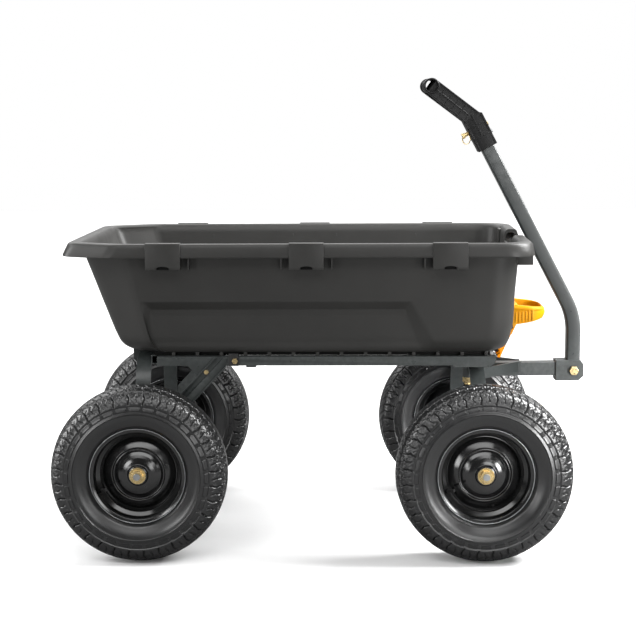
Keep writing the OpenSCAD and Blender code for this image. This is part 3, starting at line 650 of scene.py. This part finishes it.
def rim_mesh():
    """Stamped disc welded into a rolled barrel, with a hub tube."""
    bm = bmesh.new()
    barrel = fillet([(109.5, -44.6, 1.1), (109.5, -42.2, 0.9), (104, -40, 2), (101.6, -37, 1.5), (101.6, -24, 4), (90, -16, 4), (90, 16, 4), (101.6, 24, 4),
                     (101.6, 37, 1.5), (104, 40, 2), (109.5, 42.2, 0.9), (109.5, 44.6, 1.1), (107, 44.6, 1.1), (101.2, 42, 3), (99, 38.5, 2), (99, 25.5, 5),
                     (87.5, 17.5, 5), (87.5, -17.5, 5), (99, -25.5, 5), (99, -38.5, 2), (101.2, -42, 3), (107, -44.6, 1.1)], 1.0, 5)
    join(bm, revolve_bm(barrel, 192))
    disc = fillet([(88.2, 5.5, 0.8), (84, 6, 3), (80.5, 9, 4), (74.4, 13.6, 3), (61.8, 20.6, 1.6), (60.2, 19.2, 1.2), (58.4, 15.8, 1.5), (56, 16.4, 2), (51.4, 20.4, 8), (45.6, 24, 10),
                   (38.5, 27.4, 12), (31, 29.9, 12), (24.6, 31.2, 3), (22, 34, 1.6), (22, 37.2, 0.9), (20, 37.9, 0.6), (17.6, 37.9, 0.4),
                   (17.6, 28.4, 0.5), (24, 28.2, 3), (30.4, 27, 8), (38, 24.4, 10), (45, 21, 10), (50.4, 17.8, 8), (55.6, 13.4, 2), (60, 12.8, 2), (61.8, 16.2, 2), (64, 17.4, 2),
                   (71.6, 13.8, 6), (78.8, 6.8, 4), (83, 3.2, 3), (88.2, 2.6, 0.8)], 1.0, 6)
    join(bm, revolve_bm(disc, 192))
    tube = fillet([(17.6, -37.9), (21, -37.9), (21, 26), (17.6, 26)], 0.6, 3)
    join(bm, revolve_bm(tube, 96))
    return bm_mesh("rim_stamping", bm)


def rim_edge_mesh():
    """Bare edge of the rolled flange, both sides."""
    bm = bmesh.new()
    for y in (44.4, -44.4):
        join(bm, revolve_bm([(109.3 + 0.95 * math.cos(2 * math.pi * i / 12), y + 0.95 * math.sin(2 * math.pi * i / 12)) for i in range(12)], 192))
    return bm_mesh("rim_edge", bm)


def bearing_mesh():
    bm = bmesh.new()
    for s in (1, -1):
        for prof in ([(8.1, 26), (10.6, 26), (10.6, 37.6), (8.1, 37.6)], [(14.8, 26), (17.45, 26), (17.45, 37.6), (14.8, 37.6)], [(10.6, 27), (14.8, 27), (14.8, 36.4), (10.6, 36.4)]):
            join(bm, revolve_bm(fillet([(r, s * y) for r, y in prof], 0.5, 3), 72))
    return bm_mesh("hub_bearings", bm)


def valve_mesh():
    bm = bmesh.new()
    join(bm, revolve_bm(fillet([(0.02, -6), (4, -6), (4, 0.5), (4.0, 8), (3.3, 15), (3.1, 17), (3.1, 17.4), (3.6, 17.6), (3.6, 25), (2.6, 26), (0.02, 26)], 0.7, 3), 40, axis="Z"))
    for i in range(10):
        a = math.radians(36 * i)
        b = bmesh.new()
        box_bm(b, (-0.5, 3.3, 18.2), (0.5, 3.95, 24.6), 0.2, 1)
        b.transform(Matrix.Rotation(a, 4, "Z"))
        join(bm, b)
    # along the valve's axis, square to the slope of the rim's well, as in the CAD
    m = Matrix.Rotation(math.radians(-90), 4, "X") @ Matrix.Rotation(math.radians(156), 4, "Z") @ Matrix.Translation((93.3 * MM, 0, 20.7 * MM)) @ Matrix.Rotation(math.radians(-34.55), 4, "Y")
    bm.transform(m)
    return bm_mesh("valve_stem", bm)


PARK = math.radians(2.6)
KING = Vector((346.5, 0, 0)) * MM
STEER = Matrix.Translation(KING) @ Matrix.Rotation(PARK, 4, "Z")
TYRE, RIM, BEAR, VALVE, EDGE = tyre_mesh(), rim_mesh(), bearing_mesh(), valve_mesh(), rim_edge_mesh()
for end in ("rear", "front"):
    for sd, sgn in (("left", 1), ("right", -1)):
        base = Matrix.Translation((-0.427, 0, 0)) if end == "rear" else STEER
        # the right-hand wheels are turned about, so their outer side faces out
        place = base @ Matrix.Translation((0, sgn * 0.3385, 0.203))
        if sgn < 0:
            place = place @ Matrix.Scale(-1, 4, (0, 1, 0))
        for src, kind, slot in ((TYRE, "tyre", "tyre_rubber"), (RIM, "rim", "rim_paint"), (BEAR, "bearings", "bare_steel"), (VALVE, "valve", "valve_rubber"), (EDGE, "edge", "bare_steel")):
            me = src.copy()
            me.transform(place)
            if sgn < 0:
                me.flip_normals()
            name = f"{kind}_{end}_{sd}"
            add(name + "_look", me, f"wheel_{end}_{sd}", slot, name if kind != "edge" else None, sharp=40 if kind != "tyre" else 50)


# ------------------------------------------------------------------ grip

LEAN = math.radians(27.65)
UPPER = STEER @ Matrix.Translation((259.5 * MM, 0, 519.6 * MM)) @ Matrix.Rotation(-LEAN, 4, "Y")


def build_grip():
    """Sleeve on the tube, two webbed arms and a hollow bar across their ends."""
    bm = bmesh.new()
    # sleeve: four walls with a collar at its foot
    for lo, hi in (((-24.5, -22.5, 466), (-16.9, 22.5, 553)), ((16.9, -22.5, 466), (24.5, 22.5, 549)), ((-20, -22.5, 466), (20, -16.9, 551)), ((-20, 16.9, 466), (20, 22.5, 551))):
        box_bm(bm, lo, hi, 1.6)
    join(bm, prism_bm(fillet([(-24.5, 545), (24.5, 545), (24.5, 549, 2), (15, 556, 8), (3, 574, 6), (-31, 574, 4), (-26, 558, 6)], 1.5, 4), -21.5, 21.5, 1.6))
    # raised frame of ribs on both cheeks of the sleeve
    for s in (-1, 1):
        y0, y1 = sorted((s * 21.5, s * 23.4))
        for lo, hi in (((-25, y0, 500), (-20, y1, 556)), ((20, y0, 500), (25, y1, 549)), ((-25, y0, 496), (25, y1, 501)), ((-2.5, y0, 500), (2.5, y1, 556)), ((-25, y0, 526), (25, y1, 530))):
            box_bm(bm, lo, hi, 0.7)
    # arms: two flanges, a web and cross ribs, from the sleeve to the bar
    for s in (-1, 1):
        a, b = Vector((-5, s * 17, 556)), Vector((-56.4, s * 50.5, 663.4))
        d = (b - a)
        L = d.length
        d.normalize()
        e = Vector((d.z, 0, -d.x)).normalized()          # across the arm, in the plane of the handle
        w = d.cross(e).normalized()
        M = Matrix(((e.x, w.x, d.x, a.x * MM), (e.y, w.y, d.y, a.y * MM), (e.z, w.z, d.z, a.z * MM), (0, 0, 0, 1)))
        out = 1 if (w.y * s) > 0 else -1
        h0, h1 = 20.8, 18.8

        def half(t):
            return h0 + (h1 - h0) * t / L

        for sg in (-1, 1):
            b2 = bmesh.new()
            vs = []
            for t, hh in ((-14, half(0)), (L, half(L))):
                for q in ((hh - 4.2, -8), (hh, -8), (hh, 8), (hh - 4.2, 8)):
                    vs.append(b2.verts.new((sg * q[0] * MM, q[1] * MM, t * MM)))
            for f in ((0, 1, 2, 3), (7, 6, 5, 4), (0, 4, 5, 1), (1, 5, 6, 2), (2, 6, 7, 3), (3, 7, 4, 0)):
                b2.faces.new([vs[i] for i in f])
            bmesh.ops.recalc_face_normals(b2, faces=b2.faces)
            bmesh.ops.bevel(b2, geom=list(b2.edges), offset=1.3 * MM, offset_type="OFFSET", segments=2, profile=0.6, affect="EDGES", clamp_overlap=True)
            b2.transform(M)
            join(bm, b2)
        b2 = bmesh.new()
        vs = []
        for t, hh in ((-14, half(0) - 2), (L, half(L) - 2)):
            for q in ((-hh, -6.1), (hh, -6.1), (hh, 6.1), (-hh, 6.1)):
                vs.append(b2.verts.new((q[0] * MM, q[1] * MM, t * MM)))
        for f in ((0, 1, 2, 3), (7, 6, 5, 4), (0, 4, 5, 1), (1, 5, 6, 2), (2, 6, 7, 3), (3, 7, 4, 0)):
            b2.faces.new([vs[i] for i in f])
        b2.transform(M)
        join(bm, b2)
        for t in (4, 26, 48, 70, 92, 112):
            hh = half(t) - 2
            box_bm(bm, (-hh, -7.4, t - 1.6), (hh, 7.4, t + 1.6), 0.6, 1, M)
        box_bm(bm, (-1.5, -7.4, 4), (1.5, 7.4, 112), 0.6, 1, M)
    # bar with its bore
    prof = fillet([(14.4, -60), (16.9, -60), (16.9, 60), (14.4, 60)], 1.1, 4)
    bar = revolve_bm(prof, 72)
    bar.transform(Matrix.Translation((-56 * MM, 0, 663 * MM)))
    join(bm, bar)
    # collars where the arms meet the bar
    for q in (-1, 1):
        co = revolve_bm(fillet([(14.6, q * 43.5), (18.9, q * 43.5), (18.9, q * 59), (17.6, q * 60.4), (14.6, q * 60.4)], 1.0, 4), 72)
        co.transform(Matrix.Translation((-56 * MM, 0, 663 * MM)))
        join(bm, co)
    # shallow finger ridges round the bar
    for i in range(7):
        y = -36 + 12 * i
        rg = revolve_bm(fillet([(15.5, y - 3.2), (17.1, y - 1.4), (17.1, y + 1.4), (15.5, y + 3.2)], 0.8, 3), 72)
        rg.transform(Matrix.Translation((-56 * MM, 0, 663 * MM)))
        join(bm, rg)
    bm.transform(UPPER)
    me = bm_mesh("grip_look", bm)
    return add("grip_look", me, "handle", "grip_plastic", "grip", sharp=32)


build_grip()


# ------------------------------------------------------------------ latch lever

def build_lever():
    """Wide lifting loop with a rounded nose, on a leg that is hooked along its foot and slotted round the pivot's ears."""
    bm = bmesh.new()
    low = fillet([(427, 474, 0), (436.2, 487.4, 0), (449.4, 487.4, 0), (445, 482, 6), (431, 453, 10), (424, 437, 6), (419.5, 426.4, 2), (413.2, 426.4, 1.2), (413.2, 433, 1),
                  (417.5, 435.5, 1), (417.5, 446, 1), (412.2, 447, 1), (412.2, 453, 1.5), (419, 462, 4)], 2, 4)
    for y0, y1 in ((-74.8, -55.7), (-44.3, 44.3), (55.7, 74.8)):
        join(bm, prism_bm(low, y0, y1, 0.8))
    mid = [(435.8, 486.6), (438.8, 494), (439, 506), (443, 514.6), (461, 514.6), (458, 507), (454.5, 500), (448.2, 486.6)]
    strips = bmesh.new()
    for s in (-1, 1):
        for y0, y1 in ((10.2, 44.3), (55.7, 74.8)):
            a, b = sorted((s * y0, s * y1))
            join(strips, prism_bm(fillet([(*q, 2) for q in mid], 2, 3), a, b, 0.6))
    cutter = revolve_bm(fillet([(0.02, -90), (4.15, -90), (4.15, 90), (0.02, 90)], 0, 1), 48)
    cutter.transform(Matrix.Translation((447 * MM, 0, 500 * MM)))
    bm.from_mesh(boolean(bm_mesh("lever_strips", strips), [bm_mesh("pivot_hole", cutter)], "lever"))
    # back of the loop
    join(bm, prism_bm(fillet([(443.4, 514.2), (461, 514.2), (463, 520), (463, 553.4), (456, 555), (451, 553), (449, 530)], 2, 4), -74.6, 74.6, 1.4))
    # band round the loop: plan path, height from the side outline, and a nose that is drawn in above and below
    path = [(452.5, -75.0)] + [(452.5 + (488.5 - 452.5) * i / 16, -75.0) for i in range(1, 17)]
    path += [(488.5 + 42 * math.sin(math.radians(a)), -33 - 42 * math.cos(math.radians(a))) for a in np.linspace(0, 90, 19)[1:]]
    path += [(x, -y) for x, y in reversed(path)]
    path = [path[i] for i in range(len(path)) if i == 0 or (abs(path[i][0] - path[i - 1][0]) + abs(path[i][1] - path[i - 1][1])) > 1e-6]
    rings = []
    for i, (x, y) in enumerate(path):
        a, b = path[max(0, i - 1)], path[min(len(path) - 1, i + 1)]
        t = Vector((b[0] - a[0], b[1] - a[1], 0)).normalized()
        nrm = Vector((t.y, -t.x, 0))
        nose = max(0.0, nrm.x) ** 1.5
        zb = float(np.interp(x, [449, 458, 486, 520, 530.5], [512, 507, 511.5, 518.5, 519.6]))
        zt = float(np.interp(x, [449, 455, 512, 530.5], [555.5, 555, 549.5, 547.4]))
        h = zt - zb
        sect = [(-7.6, 0.0, 0.3), (-1.6, 0.0, -5.0), (-0.4, 0.03, -5.2), (0, 0.10, -4.4), (0, 0.28, -1.8), (0, 0.50, 0.0), (0, 0.66, -0.6), (0, 0.74, -1.8), (1.5, 0.78, -2.4),
                (1.9, 0.84, -3.2), (1.5, 0.90, -4.2), (0.2, 0.94, -5.4), (-1.4, 0.99, -5.6), (-2.6, 1.0, -5.4), (-7.2, 1.0, -0.9), (-8.6, 0.97, -0.4), (-9, 0.93, 0), (-9, 0.5, 0),
                (-9, 0.06, 0.0), (-8.6, 0.02, 0.2)]
        ringv = []
        for off, f, dn in sect:
            q = off + dn * nose
            ringv.append(bm.verts.new(((x + nrm.x * q) * MM, (y + nrm.y * q) * MM, (zb + f * h) * MM)))
        rings.append(ringv)
    m = len(rings[0])
    for i in range(len(rings) - 1):
        for k in range(m):
            bm.faces.new((rings[i][k], rings[i][(k + 1) % m], rings[i + 1][(k + 1) % m], rings[i + 1][k]))
    bm.faces.new(rings[0])
    bm.faces.new(list(reversed(rings[-1])))
    # upright ribs on both flanks
    for s in (-1, 1):
        for x in (457, 465, 473, 481, 489, 497):
            z0 = float(np.interp(x, [449, 458, 486, 520], [512, 507, 511.5, 518.5])) + 3
            a, b = sorted((s * 74, s * 77.4))
            box_bm(bm, (x - 1.6, a, z0), (x + 1.6, b, z0 + 26), 0.7, 2)
    me = bm_mesh("latch_lever_look", bm)
    return add("latch_lever_look", me, "latch", "lever_plastic", "latch_lever", sharp=32)


build_lever()


# ------------------------------------------------------------------ steel, bolts and the rest, from the CAD with broken edges

for node, width in {
    "rail_left": 2.0, "rail_right": 2.0, "front_crossmember": 1.4, "rear_crossmember": 1.4, "upper_turntable": 0.9, "rear_hoop": 1.5, "front_hoop": 1.5,
    "gusset_left": 0.8, "gusset_right": 0.8, "brace_left": 0.7, "brace_right": 0.7, "rest_blocks": 1.4, "hinge_lugs": 1.0, "latch_striker": 0.9, "lower_turntable": 0.9,
    "draw_plate_left": 1.2, "draw_plate_right": 1.2, "tongue": 2.6, "clevis": 1.3, "hinge_bracket_left": 0.9, "hinge_bracket_right": 0.9,
    "latch_bracket": 0.8, "frame_bolts": 0.6, "rear_axle": 0.9, "front_axle": 0.9, "rear_axle_nuts": 0.9, "front_axle_nuts": 0.9, "kingpin": 0.9, "kingpin_nut": 0.8,
    "clevis_bolt": 1.0, "clevis_nut": 0.9, "grip_screws": 0.6, "hitch_pin": 0.7, "hinge_rod": 0.6, "rod_clips": 0.4, "tub_bolts": 0.7, "latch_pivot": 0.5,
}.items():
    dress(node, width)


def build_handle():
    """Square tube with rounded corners, swept up from the clevis and round the bend."""
    knee, R = 519.6, 160.0
    bt = R * math.tan(LEAN / 2)
    stations = [(0.0, 364.0, 0.0), (0.0, 420.0, 0.0), (0.0, knee - bt, 0.0)]
    for i in range(1, 25):
        q = LEAN * i / 24
        stations.append((-R + R * math.cos(q), knee - bt + R * math.sin(q), q))
    for t in (bt + 60, 300, 420, 544):
        stations.append((-t * math.sin(LEAN), knee + t * math.cos(LEAN), LEAN))

    def outline(h, r):
        out = []
        for cx, cy, a0 in ((1, 1, 0), (-1, 1, 90), (-1, -1, 180), (1, -1, 270)):
            out += [(cx * (h - r) + r * math.cos(math.radians(a0 + 15 * k)), cy * (h - r) + r * math.sin(math.radians(a0 + 15 * k))) for k in range(7)]
        return out

    bm = bmesh.new()
    skins = []
    for h, r in ((16.5, 4.2), (14.5, 2.2)):
        rows = []
        for x, z, q in stations:
            rows.append([bm.verts.new(((259.5 + x + a * math.cos(q)) * MM, b * MM, (z + a * math.sin(q)) * MM)) for a, b in outline(h, r)])
        n = len(rows[0])
        for i in range(len(rows) - 1):
            for k in range(n):
                bm.faces.new((rows[i][k], rows[i][(k + 1) % n], rows[i + 1][(k + 1) % n], rows[i + 1][k]))
        skins.append(rows)
    for e in (0, -1):
        a, b = skins[0][e], skins[1][e]
        for k in range(len(a)):
            bm.faces.new((a[k], a[(k + 1) % len(a)], b[(k + 1) % len(a)], b[k]))
    me = bm_mesh("handle_tube_look", bm)
    hole = revolve_bm(fillet([(0.02, -30), (10.05, -30), (10.05, 30), (0.02, 30)], 0, 1), 64)
    hole.transform(Matrix.Translation((259.5 * MM, 0, 383 * MM)))
    me = boolean(me, [bm_mesh("bolt_hole", hole)], "handle")
    me.transform(STEER)
    return add("handle_tube_look", me, "handle", "frame_paint", "handle_tube", sharp=40)


build_handle()


def build_ring():
    """Split ring of wire through the pull pin's neck."""
    bm = bmesh.new()
    for k, (r, off) in enumerate(((12.2, -0.55), (12.0, 0.55))):
        prof = [(r + 0.85 * math.cos(2 * math.pi * i / 14), off + 0.85 * math.sin(2 * math.pi * i / 14)) for i in range(14)]
        join(bm, revolve_bm(prof, 96, axis="Z"))
    bm.transform(UPPER @ Matrix.Translation((-30.5 * MM, 0, 518 * MM)) @ Matrix.Rotation(LEAN, 4, "Y") @ Matrix.Rotation(math.radians(45), 4, "Z") @ Matrix.Translation((0, 0, -11.5 * MM)) @ Matrix.Rotation(math.radians(90), 4, "Y"))
    me = bm_mesh("pin_ring_look", bm)
    return add("pin_ring_look", me, "pull_pin", "yellow_zinc", "pin_ring")


def build_spring():
    """Close-wound torsion spring on the latch's pivot."""
    bm = bmesh.new()
    turns, wire = 10, 0.76
    n = turns * 40
    path = []
    for i in range(n + 1):
        a = 2 * math.pi * i / 40
        path.append(Vector((447 + 5.7 * math.cos(a), -7.6 + 15.2 * i / n, 500 + 5.7 * math.sin(a))))
    rings = []
    for i, c in enumerate(path):
        t = (path[min(i + 1, n)] - path[max(i - 1, 0)]).normalized()
        out = Vector((c.x - 447, 0, c.z - 500)).normalized()
        up = t.cross(out).normalized()
        rings.append([bm.verts.new((c + (out * math.cos(q) + up * math.sin(q)) * wire) * MM) for q in [2 * math.pi * k / 8 for k in range(8)]])
    for i in range(n):
        for k in range(8):
            bm.faces.new((rings[i][k], rings[i][(k + 1) % 8], rings[i + 1][(k + 1) % 8], rings[i + 1][k]))
    bm.faces.new(rings[0])
    bm.faces.new(list(reversed(rings[-1])))
    me = bm_mesh("latch_spring_look", bm)
    return add("latch_spring_look", me, "chassis", "bare_steel", "latch_spring")


build_ring()
build_spring()

for name, obj in NODES.items():
    obj.data.materials.clear()
    obj.data.materials.append(MATS[SLOT_OF[name]])


# ------------------------------------------------------------------ studio

def plane(name, size, z):
    me = from_arrays(name, [(-size, -size, z), (size, -size, z), (size, size, z), (-size, size, z)], [(0, 1, 2, 3)])
    me.materials.append(M_FLOOR)
    o = bpy.data.objects.new(name, me)
    bpy.context.scene.collection.objects.link(o)
    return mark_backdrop(o)


plane("studio_floor", 12.0, -0.0006)

world = bpy.data.worlds.new("studio")
bpy.context.scene.world = world
world.use_nodes = True
wn = world.node_tree
back = wn.nodes["Background"]
back.inputs["Color"].default_value = (1.0, 1.0, 1.0, 1)
rays = wn.nodes.new("ShaderNodeLightPath")
lit = wn.nodes.new("ShaderNodeMapRange")
lit.inputs["To Min"].default_value = 0.10
lit.inputs["To Max"].default_value = 1.0
wn.links.new(rays.outputs["Is Camera Ray"], lit.inputs["Value"])
wn.links.new(lit.outputs["Result"], back.inputs["Strength"])


def light(name, loc, target, size, size_y, power, colour=(1, 1, 1)):
    d = bpy.data.lights.new(name, "AREA")
    d.shape = "RECTANGLE"
    d.size, d.size_y, d.energy, d.color = size, size_y, power, colour
    o = bpy.data.objects.new(name, d)
    o.location = loc
    o.rotation_euler = (Vector(target) - Vector(loc)).to_track_quat("-Z", "Y").to_euler()
    bpy.context.scene.collection.objects.link(o)
    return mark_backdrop(o)


light("key_top", (0.1, 0.45, 3.0), (0.0, 0.25, 0.4), 3.8, 1.8, 64)
light("floor_wash", (0, 8.5, 5.0), (0, 8.5, 0), 16.0, 12.0, 1500)
light("box_right", (2.2, -2.0, 0.5), (0.95, 0, 0.2), 0.9, 1.0, 8)
bpy.data.lights["box_right"].spread = math.radians(40)
light("box_mid", (1.2, -3.4, 0.85), (0.2, 0, 0.5), 1.0, 1.2, 19)
light("box_left", (-2.2, -3.0, 0.85), (-0.4, 0, 0.45), 0.8, 1.2, 23)
light("front_top", (-0.2, -2.7, 2.9), (0.0, 0, 0.3), 4.2, 1.4, 66)
light("side_right", (2.1, 0.0, 2.2), (-0.4, 0, 0.6), 1.2, 1.6, 215)
light("side_left", (-2.8, -0.3, 1.3), (-0.2, 0, 0.6), 1.0, 2.0, 60)

cam_d = bpy.data.cameras.new("camera")
cam = bpy.data.objects.new("camera", cam_d)
bpy.context.scene.collection.objects.link(cam)
bpy.context.scene.camera = cam
cam_d.sensor_width = 36.0
cam_d.lens = 1554.08 / 636 * 36.0
cam_d.dof.use_dof = False
cam_d.clip_start, cam_d.clip_end = 0.05, 60
yaw, pitch, roll = math.radians(-1.681), math.radians(7.651), math.radians(0.326)
fwd = Vector((math.sin(yaw) * math.cos(pitch), math.cos(yaw) * math.cos(pitch), -math.sin(pitch)))
right = Vector((math.cos(yaw), -math.sin(yaw), 0))
down = fwd.cross(right)
right2 = math.cos(roll) * right + math.sin(roll) * down
down2 = -math.sin(roll) * right + math.cos(roll) * down
rot = Matrix((right2, -down2, -fwd)).transposed().to_4x4()
cam.matrix_world = Matrix.Translation((0.0867, -3.8183, 1.0270)) @ rot

bpy.context.scene.view_settings.view_transform = "Standard"
bpy.context.scene.view_settings.look = "None"
